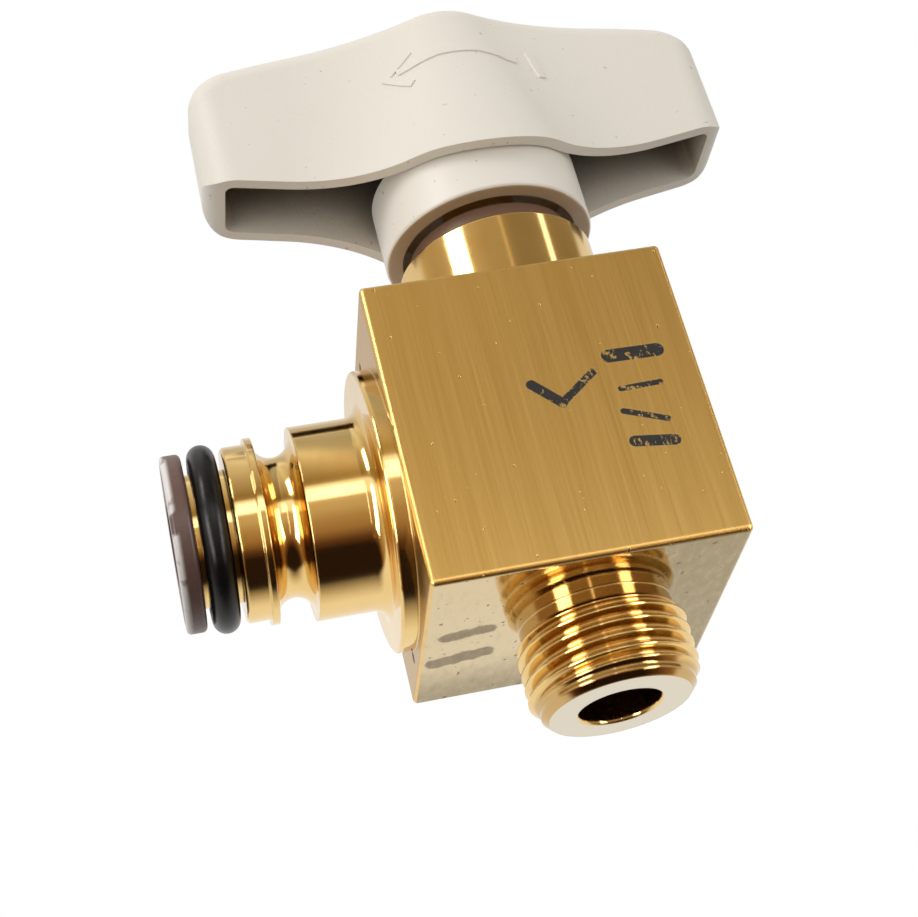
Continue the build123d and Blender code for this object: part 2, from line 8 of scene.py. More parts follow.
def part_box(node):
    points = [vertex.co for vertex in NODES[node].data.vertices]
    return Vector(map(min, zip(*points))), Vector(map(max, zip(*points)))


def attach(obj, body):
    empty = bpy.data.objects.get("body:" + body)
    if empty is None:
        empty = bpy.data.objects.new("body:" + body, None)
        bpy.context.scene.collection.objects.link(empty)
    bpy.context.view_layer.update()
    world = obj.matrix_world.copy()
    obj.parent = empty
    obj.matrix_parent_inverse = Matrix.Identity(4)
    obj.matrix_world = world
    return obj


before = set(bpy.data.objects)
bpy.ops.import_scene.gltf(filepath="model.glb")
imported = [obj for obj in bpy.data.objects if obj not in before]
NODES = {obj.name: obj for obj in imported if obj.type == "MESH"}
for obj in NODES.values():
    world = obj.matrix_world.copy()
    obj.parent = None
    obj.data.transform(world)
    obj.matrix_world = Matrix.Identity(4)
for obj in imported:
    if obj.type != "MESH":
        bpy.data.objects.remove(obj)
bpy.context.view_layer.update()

# ---- places read from the frame -----------------------------------------------------

MM = 0.001
MICRON = 0.000001

# These are in millimetres, as are the places and sizes that the body's and the nose's
# finishes name.
BODY_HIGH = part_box("valve_body")[1] / MM
NOSE_LOW, NOSE_HIGH = (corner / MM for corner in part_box("inlet_nose_sleeve"))
NOSE_RADIUS = (NOSE_HIGH.y - NOSE_LOW.y) / 2
INLET_Z = (NOSE_LOW.z + NOSE_HIGH.z) / 2
BLOCK_WIDTH = 30.0
BLOCK_HEIGHT = 32.0
BLOCK_LEFT = BODY_HIGH.x - BLOCK_WIDTH
BLOCK_BOTTOM = BODY_HIGH.z - BLOCK_HEIGHT
THREAD_RADIUS = 8.33            # the outlet's thread at its crests


# ---- node trees ---------------------------------------------------------------------

class Tree:
    """Short hand for building one material's or world's node tree."""

    def __init__(self, tree):
        self.tree = tree
        self.tree.nodes.clear()

    def add(self, kind, **settings):
        made = self.tree.nodes.new(kind)
        for name, value in settings.items():
            setattr(made, name, value)
        return made

    def link(self, source, target):
        self.tree.links.new(source, target)

    def put(self, socket, value):
        """Link a socket, or set its value."""
        if isinstance(value, bpy.types.NodeSocket):
            self.link(value, socket)
        else:
            socket.default_value = value

    # numbers

    def math(self, operation, *values, clamp=False):
        made = self.add("ShaderNodeMath", operation=operation, use_clamp=clamp)
        for socket, value in zip(made.inputs, values):
            self.put(socket, value)
        return made.outputs[0]

    def times(self, first, *others):
        for other in others:
            first = self.math("MULTIPLY", first, other)
        return first

    def most(self, first, *others):
        """The largest of the values."""
        for other in others:
            first = self.math("MAXIMUM", first, other)
        return first

    def centred(self, value):
        """A 0 to 1 value, moved to lie about 0."""
        return self.math("SUBTRACT", value, 0.5)

    def besides(self, mask):
        """What a mask leaves: 1 where it is 0."""
        return self.math("SUBTRACT", 1.0, mask)

    def reach(self, first, second):
        """Distance from the origin of a point in the plane of two coordinates."""
        squares = self.math("ADD", self.times(first, first), self.times(second, second))
        return self.math("SQRT", squares)

    def step(self, value, low, high):
        """0 at low, 1 at high, smooth between them and flat beyond; low may be the larger."""
        falls = low > high
        made = self.add("ShaderNodeMapRange", interpolation_type="SMOOTHSTEP")
        self.put(made.inputs["Value"], value)
        made.inputs["From Min"].default_value = min(low, high)
        made.inputs["From Max"].default_value = max(low, high)
        made.inputs["To Min"].default_value = 1.0 if falls else 0.0
        made.inputs["To Max"].default_value = 0.0 if falls else 1.0
        return made.outputs["Result"]

    def between(self, factor, first, second):
        """Number between first (factor 0) and second (factor 1)."""
        made = self.add("ShaderNodeMix", data_type="FLOAT")
        self.put(made.inputs[0], factor)
        self.put(made.inputs[2], first)
        self.put(made.inputs[3], second)
        return made.outputs[0]

    # colours

    def blend(self, factor, first, second):
        """Colour between first (factor 0) and second (factor 1)."""
        made = self.add("ShaderNodeMix", data_type="RGBA")
        self.put(made.inputs["Factor"], factor)
        colours = [socket for socket in made.inputs if socket.type == "RGBA"]
        self.put(colours[0], first)
        self.put(colours[1], second)
        return [socket for socket in made.outputs if socket.type == "RGBA"][0]

    def ramp(self, value, stops):
        """Colour ramp from (position, colour) stops."""
        made = self.add("ShaderNodeValToRGB")
        elements = made.color_ramp.elements
        while len(elements) < len(stops):
            elements.new(0.5)
        for element, (position, colour) in zip(elements, stops):
            element.position = position
            element.color = (*colour, 1)
        self.link(value, made.inputs[0])
        return made.outputs[0]

    # vectors

    def place(self):
        """Object-space position, in metres."""
        return self.add("ShaderNodeTexCoord").outputs["Object"]

    def facing(self):
        """The three parts of the object-space normal."""
        return self.parts(self.add("ShaderNodeTexCoord").outputs["Normal"])

    def vector(self, operation, *values, out=0):
        made = self.add("ShaderNodeVectorMath", operation=operation)
        for socket, value in zip(made.inputs, values):
            self.put(socket, value)
        return made.outputs[out]

    def length(self, vector):
        return self.vector("LENGTH", vector, out=1)

    def scaled(self, vector, factor):
        made = self.add("ShaderNodeVectorMath", operation="SCALE")
        self.put(made.inputs[0], vector)
        self.put(made.inputs["Scale"], factor)
        return made.outputs[0]

    def parts(self, vector):
        made = self.add("ShaderNodeSeparateXYZ")
        self.link(vector, made.inputs[0])
        return made.outputs

    def joined(self, x=0.0, y=0.0, z=0.0):
        made = self.add("ShaderNodeCombineXYZ")
        for socket, value in zip(made.inputs, (x, y, z)):
            self.put(socket, value)
        return made.outputs[0]

    # patterns

    def noise(self, place, per_metre, detail=3.0, rough=0.5):
        """Noise with about per_metre features to the metre: one number, or one for each axis."""
        if isinstance(per_metre, float):
            per_metre = (per_metre,) * 3
        mapping = self.add("ShaderNodeMapping")
        self.link(place, mapping.inputs["Vector"])
        mapping.inputs["Scale"].default_value = per_metre
        made = self.add("ShaderNodeTexNoise", noise_type="FBM")
        self.link(mapping.outputs[0], made.inputs["Vector"])
        made.inputs["Scale"].default_value = 1.0
        made.inputs["Detail"].default_value = detail
        made.inputs["Roughness"].default_value = rough
        return made.outputs["Fac"]

    def stroke(self, place, start, end, half_width, soft):
        """1 inside a round-ended stroke between two points, in the units of place."""
        start, end = Vector(start), Vector(end)
        run = end - start
        offset = self.vector("SUBTRACT", place, start)
        along = self.vector("DOT_PRODUCT", offset, run / run.length_squared, out=1)
        along = self.math("MAXIMUM", self.math("MINIMUM", along, 1.0), 0.0)
        gap = self.vector("SUBTRACT", offset, self.scaled(run, along))
        return self.step(self.length(gap), half_width + soft, half_width - soft)

    def bump(self, height, depth, under=None):
        """Bump whose full height is depth metres, laid over the normal under."""
        made = self.add("ShaderNodeBump")
        made.inputs["Strength"].default_value = 1.0
        made.inputs["Distance"].default_value = depth
        self.link(height, made.inputs["Height"])
        if under is not None:
            self.link(under, made.inputs["Normal"])
        return made.outputs["Normal"]


def new_material(name):
    """Material, its tree and its shader, joined to the output."""
    material = bpy.data.materials.new(name)
    material.use_nodes = True
    tree = Tree(material.node_tree)
    shader = tree.add("ShaderNodeBsdfPrincipled")
    output = tree.add("ShaderNodeOutputMaterial")
    tree.link(shader.outputs[0], output.inputs["Surface"])
    return material, tree, shader


def add_mesh(name, points, faces, smooth=True):
    mesh = bpy.data.meshes.new(name)
    mesh.from_pydata(points, [], faces)
    mesh.validate()
    mesh.update()
    for polygon in mesh.polygons:
        polygon.use_smooth = smooth
    made = bpy.data.objects.new(name, mesh)
    bpy.context.scene.collection.objects.link(made)
    return made


# ---- camera -------------------------------------------------------------------------

CAMERA_PLACE = Vector((-0.04074, -0.15846, -0.05587))
CAMERA_TURN = Vector((1.06118, -0.24509, -0.05170))      # axis times angle, scene to lens
CAMERA_LENS = 71.89             # mm
CAMERA_SENSOR = 36.0            # mm
CAMERA_NEAR = 0.005


def add_camera():
    lens = bpy.data.cameras.new("camera")
    lens.lens = CAMERA_LENS
    lens.sensor_width = CAMERA_SENSOR
    lens.clip_start = CAMERA_NEAR
    camera = bpy.data.objects.new("camera", lens)
    to_lens = Matrix.Rotation(CAMERA_TURN.length, 3, CAMERA_TURN.normalized())
    flip = Matrix.Diagonal((1, -1, -1))
    turn = (to_lens.transposed() @ flip).to_4x4()
    camera.matrix_world = Matrix.Translation(CAMERA_PLACE) @ turn
    bpy.context.scene.collection.objects.link(camera)
    bpy.context.scene.camera = camera


# ---- studio -------------------------------------------------------------------------

AMBIENT = 0.75                  # world level for diffuse light
STUDIO_CENTRE = Vector((0, 0, 0.03))


def direction(azimuth, elevation):
    """Unit vector from degrees; azimuth 0 is -Y and grows towards +X."""
    a, e = radians(azimuth), radians(elevation)
    return Vector((sin(a) * cos(e), -cos(a) * cos(e), sin(e)))


def add_world():
    """White where it is seen or mirrored, AMBIENT where it lights."""
    world = bpy.data.worlds.new("world")
    world.use_nodes = True
    tree = Tree(world.node_tree)
    path = tree.add("ShaderNodeLightPath").outputs
    seen = tree.most(path["Is Camera Ray"], path["Is Glossy Ray"], path["Is Transmission Ray"])
    background = tree.add("ShaderNodeBackground")
    background.inputs["Color"].default_value = (1, 1, 1, 1)
    tree.put(background.inputs["Strength"], tree.between(seen, AMBIENT, 1.0))
    output = tree.add("ShaderNodeOutputWorld")
    tree.link(background.outputs[0], output.inputs["Surface"])
    bpy.context.scene.world = world


# Floor: plain white paper. Close to the valve it throws little light back up, which keeps
# the handle's hollows dark.
FLOOR_Z = -0.15
FLOOR_HALF = 3.0
FLOOR_WHITE = (0.86, 0.86, 0.86, 1)
FLOOR_BLACK = (0.02, 0.018, 0.015, 1)
FLOOR_BLACK_REACH = 0.27        # from the origin
FLOOR_BLACK_EDGE = 0.04


def add_floor():
    h = FLOOR_HALF
    corners = [(-h, -h, FLOOR_Z), (h, -h, FLOOR_Z), (h, h, FLOOR_Z), (-h, h, FLOOR_Z)]
    floor = add_mesh("floor", corners, [(0, 1, 2, 3)])
    material, tree, shader = new_material("floor_paper")
    away = tree.length(tree.place())
    close = tree.step(away, FLOOR_BLACK_REACH + FLOOR_BLACK_EDGE, FLOOR_BLACK_REACH)
    lighting = tree.add("ShaderNodeLightPath").outputs["Is Diffuse Ray"]
    colour = tree.blend(tree.times(close, lighting), FLOOR_WHITE, FLOOR_BLACK)
    tree.link(colour, shader.inputs["Base Color"])
    shader.inputs["Roughness"].default_value = 0.9
    floor.data.materials.append(material)
    floor.visible_glossy = False


# Tent: what the metal mirrors. Its front and back are stops of elevation in degrees and
# colour over TENT_LEVEL.
TENT_RADIUS = 0.8
TENT_RINGS = 24
TENT_SEGMENTS = 48
TENT_LEVEL = 1.25
TENT_FRONT = [
    (-90, (0.018, 0.010, 0.007)), (-60, (0.018, 0.010, 0.007)), (-51, (0.10, 0.045, 0.019)),
    (-39, (0.30, 0.18, 0.086)), (-26, (0.38, 0.26, 0.14)), (-14, (0.50, 0.40, 0.26)),
    (-4, (0.55, 0.44, 0.30)), (-1.5, (0.98, 0.95, 0.88)), (14, (0.98, 0.95, 0.88)),
    (16.5, (0.25, 0.18, 0.085)), (22, (0.22, 0.155, 0.065)), (35, (0.32, 0.255, 0.168)),
    (47, (0.38, 0.32, 0.25)), (59, (0.45, 0.42, 0.34)), (70, (0.48, 0.46, 0.40)),
    (90, (0.55, 0.53, 0.52)),
]
TENT_BACK = [
    (-90, (0.04, 0.035, 0.03)), (-78, (0.05, 0.045, 0.04)), (-66, (0.38, 0.33, 0.27)),
    (-54, (0.62, 0.60, 0.58)), (-42, (0.78, 0.77, 0.75)), (20, (0.78, 0.77, 0.75)),
    (35, (0.64, 0.62, 0.60)), (50, (0.64, 0.62, 0.60)), (62, (0.48, 0.46, 0.44)),
    (90, (0.54, 0.53, 0.52)),
]
TENT_SEAM = (0.28, 0.10)        # Y of a direction where the back gives way to the front
# Above TENT_SIDE_FROM the front is also scaled round about, by stops of azimuth in degrees
# and a share of TENT_SIDE_LEVEL.
TENT_SIDE_FROM = (14, 18)
TENT_SIDE_LEVEL = 2.0
TENT_SIDE = [
    (-180, 0.80), (-115, 0.85), (-85, 0.62), (-45, 0.72), (-28, 0.70), (-16, 0.60),
    (4.5, 0.58), (6, 1.0), (7.5, 1.0), (9, 0.46), (20, 0.38), (34, 0.38), (50, 0.42),
    (80, 0.38), (106, 0.42), (118, 0.65), (131, 0.70), (180, 0.80),
]


def tent_cloth():
    material = bpy.data.materials.new("tent_cloth")
    material.use_nodes = True
    material.cycles.emission_sampling = "NONE"
    tree = Tree(material.node_tree)
    x, y, z = tree.parts(tree.vector("NORMALIZE", tree.place()))
    height = tree.math("ADD", tree.math("DIVIDE", tree.math("ARCSINE", z), pi), 0.5)
    azimuth = tree.math("ARCTAN2", x, tree.times(y, -1.0))
    round_about = tree.math("ADD", tree.math("DIVIDE", azimuth, 2 * pi), 0.5)
    front = tree.ramp(height, [(degrees / 180 + 0.5, colour) for degrees, colour in TENT_FRONT])
    back = tree.ramp(height, [(degrees / 180 + 0.5, colour) for degrees, colour in TENT_BACK])
    levels = [(degrees / 360 + 0.5, (level,) * 3) for degrees, level in TENT_SIDE]
    side = tree.ramp(round_about, levels)
    side = tree.times(side, TENT_SIDE_LEVEL)
    upper = tree.step(z, *(sin(radians(elevation)) for elevation in TENT_SIDE_FROM))
    front = tree.scaled(front, tree.between(upper, 1.0, side))
    glow = tree.add("ShaderNodeEmission")
    tree.link(tree.blend(tree.step(y, *TENT_SEAM), back, front), glow.inputs["Color"])
    glow.inputs["Strength"].default_value = TENT_LEVEL
    output = tree.add("ShaderNodeOutputMaterial")
    tree.link(glow.outputs[0], output.inputs["Surface"])
    return material


def add_tent():
    """Shell round the valve that only mirrored rays see."""
    points, faces = [], []
    for ring in range(TENT_RINGS + 1):
        elevation = -90 + 180 * ring / TENT_RINGS
        for segment in range(TENT_SEGMENTS):
            azimuth = 360 * segment / TENT_SEGMENTS
            points.append(direction(azimuth, elevation) * TENT_RADIUS)
    for ring in range(TENT_RINGS):
        low, high = ring * TENT_SEGMENTS, (ring + 1) * TENT_SEGMENTS
        for segment in range(TENT_SEGMENTS):
            after = (segment + 1) % TENT_SEGMENTS
            faces.append((low + segment, low + after, high + after, high + segment))
    tent = add_mesh("light_tent", points, faces)
    tent.location = STUDIO_CENTRE
    tent.data.materials.append(tent_cloth())
    tent.visible_camera = False
    tent.visible_diffuse = False
    tent.visible_shadow = False
    tent.visible_transmission = False
    tent.visible_volume_scatter = False


# Lamps: name, azimuth, elevation, distance, width, height, radiance. A radiance of 1 looks
# white in a mirror.
LAMPS = [
    ("key", -50, 34, 0.50, 0.16, 0.20, 7.0),
    ("right", 57, 33, 0.55, 0.05, 0.22, 2.2),
    ("front_low", 6, 4, 0.55, 0.24, 0.13, 1.15),
]
# Strips that only show as lines of light down the outlet's thread.
MIRRORED_STRIPS = [
    ("left_low", -52, -16, 0.50, 0.17, 0.42, 8.0),
    ("right_low", 46, -16, 0.50, 0.14, 0.42, 7.0),
    ("middle_low", -8, -16, 0.50, 0.012, 0.42, 4.0),
]


def add_lamp(name, azimuth, elevation, distance, width, height, radiance):
    """Soft area lamp aimed at the valve."""
    lamp = bpy.data.lights.new(name, "AREA")
    lamp.shape = "RECTANGLE"
    lamp.size = width
    lamp.size_y = height
    lamp.energy = radiance * pi * width * height
    holder = bpy.data.objects.new(name, lamp)
    towards = direction(azimuth, elevation)
    holder.location = STUDIO_CENTRE + towards * distance
    holder.rotation_euler = towards.to_track_quat("Z", "Y").to_euler()
    holder.visible_camera = False
    bpy.context.scene.collection.objects.link(holder)
    return holder


add_camera()
add_world()
add_floor()
add_tent()
for lamp_row in LAMPS:
    add_lamp(*lamp_row)
for strip_row in MIRRORED_STRIPS:
    add_lamp(*strip_row).visible_diffuse = False
bpy.context.scene.view_settings.view_transform = "Standard"


# ---- brass --------------------------------------------------------------------------

BRASS = (0.87, 0.62, 0.26, 1)
BRASS_DULL = (0.84, 0.585, 0.235, 1)
# Painted shade for the thread's groove and the band before the outlet's end face.
BRASS_GROOVE_SHADE = (0.44, 0.26, 0.105, 1)
BRASS_BRUSHED = (0.845, 0.565, 0.195, 1)
BRASS_BRUSHED_DULL = (0.785, 0.51, 0.165, 1)
# Painted shade: the block's left face, darker because of how the light falls on that side.
BRASS_SIDE_SHADED = (0.53, 0.34, 0.125, 1)
BRASS_SAWN = (0.70, 0.56, 0.335, 1)
# Painted shade of the underside towards the right and the back.
BRASS_SAWN_SHADED = (0.33, 0.255, 0.13, 1)
BRASS_END = (0.72, 0.655, 0.52, 1)
PIT = (0.20, 0.11, 0.04, 1)
STAIN = (0.21, 0.155, 0.085, 1)
INK = (0.012, 0.010, 0.010, 1)
# Painted shade for the crevice where the inlet disc meets the block.
CREVICE_SHADE = (0.03, 0.018, 0.012, 1)

TURNED_ABOUT_X = (6000.0, 60.0, 60.0)       # features to the metre of fine tool lines
TURNED_ABOUT_Z = (60.0, 60.0, 6000.0)
TOOL_LINE_DEPTH = 1.2 * MICRON
BRUSH_LINE_DEPTH = 5 * MICRON
SAW_GRAIN_DEPTH = 6 * MICRON
PIT_DEPTH = 30 * MICRON
EDGE_ROUNDING = 0.28 * MM       # how round the body's edges are shaded

# A mask is 0 at the first number of its pair and 1 at the second.
FACES_AGAINST = (-0.85, -0.95)      # part of the normal along an axis, for a face looking back along it
GROOVE_RADII = (THREAD_RADIUS - 0.28, THREAD_RADIUS - 0.75)
GROOVE_SHADE_RADII = (6.0, 6.5)          # no painted shade on the bore and next to it
END_BAND_TOP = (1.5, 1.1)
END_BAND_FOOT = (0.15, 0.35)

# Worn inspection strokes on the block's front face: start x, z, end x, z, half width, in mm.
INK_STROKES = [
    (-3.3, 27.6, -0.9, 25.2, 0.55), (-0.9, 25.2, 2.8, 28.0, 0.42),
    (4.7, 29.4, 9.4, 29.3, 0.75), (4.9, 25.7, 8.8, 25.8, 0.32),
    (4.5, 23.3, 8.4, 21.8, 0.34), (4.7, 20.0, 8.4, 19.5, 0.60),
]
# Stains on the block's underside: start x, y, end x, y, half width, in mm.
STAIN_STROKES = [(-14.6, -1.8, -10.9, -2.2, 0.95), (-15.3, 4.0, -10.8, 3.2, 1.15)]
INK_SOFT = 0.09                 # mm to each side of a stroke's edge
STAIN_SOFT = 0.22
STAIN_SHAKE = (0.6, 1.1, 0.0)   # how far noise moves the stains' edges, in mm
# Dark specks of painted shade in the crevice where the inlet disc meets the block: x, y, z, radius, in
# mm.
CREVICE_SHADE_SPOTS = [(BLOCK_LEFT, -3.4, 38.5, 0.8), (BLOCK_LEFT, 6.4, 11.2, 0.7)]


def polished(tree, place, per_metre):
    """Bright brass with duller clouds."""
    cloud = tree.noise(place, per_metre)
    return tree.blend(tree.step(cloud, 0.35, 0.7), BRASS, BRASS_DULL)


def turned_brass():
    """Bright turned brass; fine tool lines run round the spindle's axis."""
    material, tree, shader = new_material("brass_turned")
    place = tree.place()
    lines = tree.noise(place, TURNED_ABOUT_Z, detail=4.0, rough=0.6)
    colour = polished(tree, place, (320.0, 320.0, 240.0))
    tree.link(colour, shader.inputs["Base Color"])
    shader.inputs["Metallic"].default_value = 1.0
    tree.link(tree.between(lines, 0.07, 0.15), shader.inputs["Roughness"])
    tree.link(tree.bump(lines, TOOL_LINE_DEPTH), shader.inputs["Normal"])
    return material


class BodySkin:
    """Zones, patterns and marks of the body's brass, as masks in its node tree."""

    def __init__(self, tree):
        self.tree = tree
        self.place = tree.place()
        self.mm = tree.scaled(self.place, 1 / MM)
        self.find_zones()
        self.draw_patterns()
        self.stain = self.stains()
        self.ink = self.ink_marks()
        self.crevice_shade = self.crevice_shade_specks()

    def find_zones(self):
        """Masks that tell the body's surfaces apart."""
        tree = self.tree
        x, y, z = tree.parts(self.mm)
        across, back, up = tree.facing()
        self.x, self.y, self.z = x, y, z
        self.on_spigot = tree.step(x, BLOCK_LEFT, BLOCK_LEFT - 0.06)
        self.on_outlet = tree.step(z, BLOCK_BOTTOM - 0.02, BLOCK_BOTTOM - 0.1)
        self.on_turned = tree.most(self.on_spigot, self.on_outlet)
        above_outlet = tree.step(z, BLOCK_BOTTOM - 0.3, BLOCK_BOTTOM - 0.1)
        self.on_underside = tree.times(tree.step(up, *FACES_AGAINST), above_outlet)
        self.on_end = tree.times(tree.step(up, -0.9, -0.97), tree.step(z, 0.1, 0.05))
        self.on_front = tree.step(back, *FACES_AGAINST)
        self.on_shaded_side = tree.step(across, *FACES_AGAINST)

    def draw_patterns(self):
        """Noises that several finishes share."""
        tree, place = self.tree, self.place
        self.streaks = tree.noise(place, (5200.0, 5200.0, 55.0), detail=4.0, rough=0.65)
        self.lines_x = tree.noise(place, TURNED_ABOUT_X, detail=4.0, rough=0.6)
        self.lines_z = tree.noise(place, TURNED_ABOUT_Z, detail=4.0, rough=0.6)
        self.grain = tree.noise(place, (1100.0, 420.0, 1100.0), detail=5.0, rough=0.7)
        self.ragged = tree.centred(tree.noise(place, 900.0))
        self.pits = tree.step(tree.noise(place, (1500.0, 1500.0, 900.0), detail=2.0), 0.70, 0.76)

    def stains(self):
        """Brown strokes, blots and pits of the underside."""
        tree = self.tree
        shake = tree.scaled(STAIN_SHAKE, self.ragged)
        flat = tree.vector("ADD", tree.joined(x=self.x, y=self.y), shake)
        strokes = tree.most(0.0, *(
            tree.stroke(flat, (x0, y0, 0), (x1, y1, 0), half, STAIN_SOFT)
            for x0, y0, x1, y1, half in STAIN_STROKES))
        strokes = tree.times(strokes, tree.between(self.grain, 0.55, 1.0))
        blots = tree.step(tree.noise(self.place, (900.0, 700.0, 900.0), detail=2.0), 0.68, 0.73)
        return tree.most(strokes, tree.times(tree.most(self.pits, blots), 0.85))

    def ink_marks(self):
        """Worn black strokes on the front."""
        tree = self.tree
        upright = tree.joined(x=self.x, z=self.z)
        strokes = tree.most(0.0, *(
            tree.stroke(upright, (x0, 0, z0), (x1, 0, z1), half, INK_SOFT)
            for x0, z0, x1, z1, half in INK_STROKES))
        wear = tree.noise(self.place, (1900.0, 1900.0, 1300.0), detail=4.0, rough=0.7)
        return tree.times(strokes, tree.step(wear, 0.66, 0.54), self.on_front)

    # Painted shade: dark specks in the crevice where the inlet disc meets the block.
    def crevice_shade_specks(self):
        tree = self.tree
        specks = []
        for x, y, z, radius in CREVICE_SHADE_SPOTS:
            away = tree.vector("DISTANCE", self.mm, (x, y, z), out=1)
            away = tree.math("ADD", away, self.ragged)
            specks.append(tree.step(away, radius, radius * 0.6))
        return tree.most(0.0, *specks)

    def brushed_colour(self):
        """Upright bands and dark pits."""
        tree = self.tree
        bands = tree.noise(self.place, (700.0, 700.0, 16.0))
        colour = tree.blend(tree.step(bands, 0.3, 0.75), BRASS_BRUSHED, BRASS_BRUSHED_DULL)
        return tree.blend(tree.times(self.pits, 0.7), colour, PIT)

    def sawn_colour(self):
        """Pale at the front left, darker with painted shade to the right and the back, under the
        stains.
        """
        tree = self.tree
        # Painted shade grows to the right and the back; the saw grain varies it.
        shade_and_grain = tree.most(tree.step(self.x, -6.0, 8.0), tree.step(self.y, 3.0, 13.0))
        shade_and_grain = tree.math("ADD", tree.times(shade_and_grain, 0.95), tree.centred(self.grain), clamp=True)
        colour = tree.blend(shade_and_grain, BRASS_SAWN, BRASS_SAWN_SHADED)
        return tree.blend(self.stain, colour, STAIN)

    def turned_colour(self):
        """Bright, with painted shade in the thread's groove and in a band before the end face."""
        tree = self.tree
        radius = tree.reach(self.x, self.y)
        groove = tree.step(radius, *GROOVE_RADII)
        end_band = tree.times(tree.step(self.z, *END_BAND_TOP), tree.step(self.z, *END_BAND_FOOT))
        outside = tree.step(radius, *GROOVE_SHADE_RADII)
        # Painted shade in the thread's groove and the band before the end face.
        groove_shade = tree.times(tree.most(groove, end_band), outside, self.on_outlet, 0.6)
        bright = polished(tree, self.place, (260.0, 260.0, 200.0))
        return tree.blend(groove_shade, bright, BRASS_GROOVE_SHADE)

    def colour(self):
        tree = self.tree
        # The block's left face takes painted shade.
        colour = tree.blend(self.on_shaded_side, self.brushed_colour(), BRASS_SIDE_SHADED)
        colour = tree.blend(self.on_underside, colour, self.sawn_colour())
        colour = tree.blend(self.on_turned, colour, self.turned_colour())
        colour = tree.blend(self.on_end, colour, BRASS_END)
        colour = tree.blend(self.ink, colour, INK)
        return tree.blend(self.crevice_shade, colour, CREVICE_SHADE)

    def roughness(self):
        tree = self.tree
        brushed = tree.between(self.streaks, 0.24, 0.40)
        sawn = tree.between(self.stain, tree.between(self.grain, 0.05, 0.11), 0.45)
        turned = tree.between(tree.most(self.lines_x, self.lines_z), 0.06, 0.14)
        rough = tree.between(self.on_underside, brushed, sawn)
        rough = tree.between(self.on_turned, rough, turned)
        return tree.between(self.on_end, rough, 0.22)

    def relief(self):
        """Rounded edges under tool lines, brush lines, saw grain and pits."""
        tree = self.tree
        edges = tree.add("ShaderNodeBevel", samples=6)
        edges.inputs["Radius"].default_value = EDGE_ROUNDING
        tool_lines = tree.between(self.on_spigot, self.lines_z, self.lines_x)
        brushed = tree.besides(tree.most(self.on_turned, self.on_underside))
        normal = tree.bump(tree.times(tool_lines, self.on_turned), TOOL_LINE_DEPTH, edges.outputs[0])
        normal = tree.bump(tree.times(self.streaks, brushed), BRUSH_LINE_DEPTH, normal)
        normal = tree.bump(tree.times(self.grain, self.on_underside), SAW_GRAIN_DEPTH, normal)
        pits = tree.times(self.pits, tree.besides(self.on_turned))
        return tree.bump(pits, -PIT_DEPTH, normal)


def body_brass():
    """The body's brass: brushed block, sawn underside, bright turned spigot and outlet."""
    material, tree, shader = new_material("brass_body")
    skin = BodySkin(tree)
    # Ink and the painted shade specks are not metal.
    ink_and_shade = tree.most(skin.ink, skin.crevice_shade)
    tree.link(skin.colour(), shader.inputs["Base Color"])
    tree.link(tree.besides(ink_and_shade), shader.inputs["Metallic"])
    tree.link(tree.between(ink_and_shade, skin.roughness(), 0.55), shader.inputs["Roughness"])
    tree.link(skin.relief(), shader.inputs["Normal"])
    return material


# ---- rubber, plastic and steel ------------------------------------------------------

RUBBER = ((0.004, 0.004, 0.005, 1), (0.008, 0.008, 0.009, 1))
STEEL = ((0.62, 0.62, 0.63, 1), (0.70, 0.70, 0.71, 1))
BROWN_NOSE = ((0.17, 0.095, 0.075, 1), (0.13, 0.07, 0.055, 1))
BROWN_BUSH = ((0.215, 0.115, 0.066, 1), (0.16, 0.085, 0.05, 1))
BEIGE = ((0.84, 0.785, 0.69, 1), (0.79, 0.73, 0.635, 1))
WHITE = ((0.90, 0.84, 0.74, 1), (0.87, 0.80, 0.70, 1))
PTFE = ((0.86, 0.86, 0.84, 1), (0.82, 0.82, 0.80, 1))
WORN_PALE = (0.86, 0.80, 0.76, 1)
SPECK = (0.34, 0.28, 0.21, 1)
# Painted shade for deep recesses.
HOLLOW_SHADE = (0.05, 0.035, 0.02, 1)
# Painted shade for faces that look straight down.
SOLE_SHADE = (0.50, 0.38, 0.25, 1)
HOLLOW_REACH = 30 * MM          # how far a recess looks for its walls


def rubber():
    material, tree, shader = new_material("rubber_black")
    fine = tree.noise(tree.place(), 2500.0)
    tree.link(tree.blend(fine, *RUBBER), shader.inputs["Base Color"])
    tree.link(tree.between(fine, 0.24, 0.36), shader.inputs["Roughness"])
    shader.inputs["Specular IOR Level"].default_value = 0.28
    tree.link(tree.bump(fine, 10 * MICRON), shader.inputs["Normal"])
    return material


def steel():
    """Turned stainless steel."""
    material, tree, shader = new_material("stainless_turned")
    lines = tree.noise(tree.place(), (60.0, 60.0, 8000.0))
    shader.inputs["Metallic"].default_value = 1.0
    tree.link(tree.blend(lines, *STEEL), shader.inputs["Base Color"])
    tree.link(tree.between(lines, 0.2, 0.35), shader.inputs["Roughness"])
    tree.link(tree.bump(lines, 4 * MICRON), shader.inputs["Normal"])
    return material


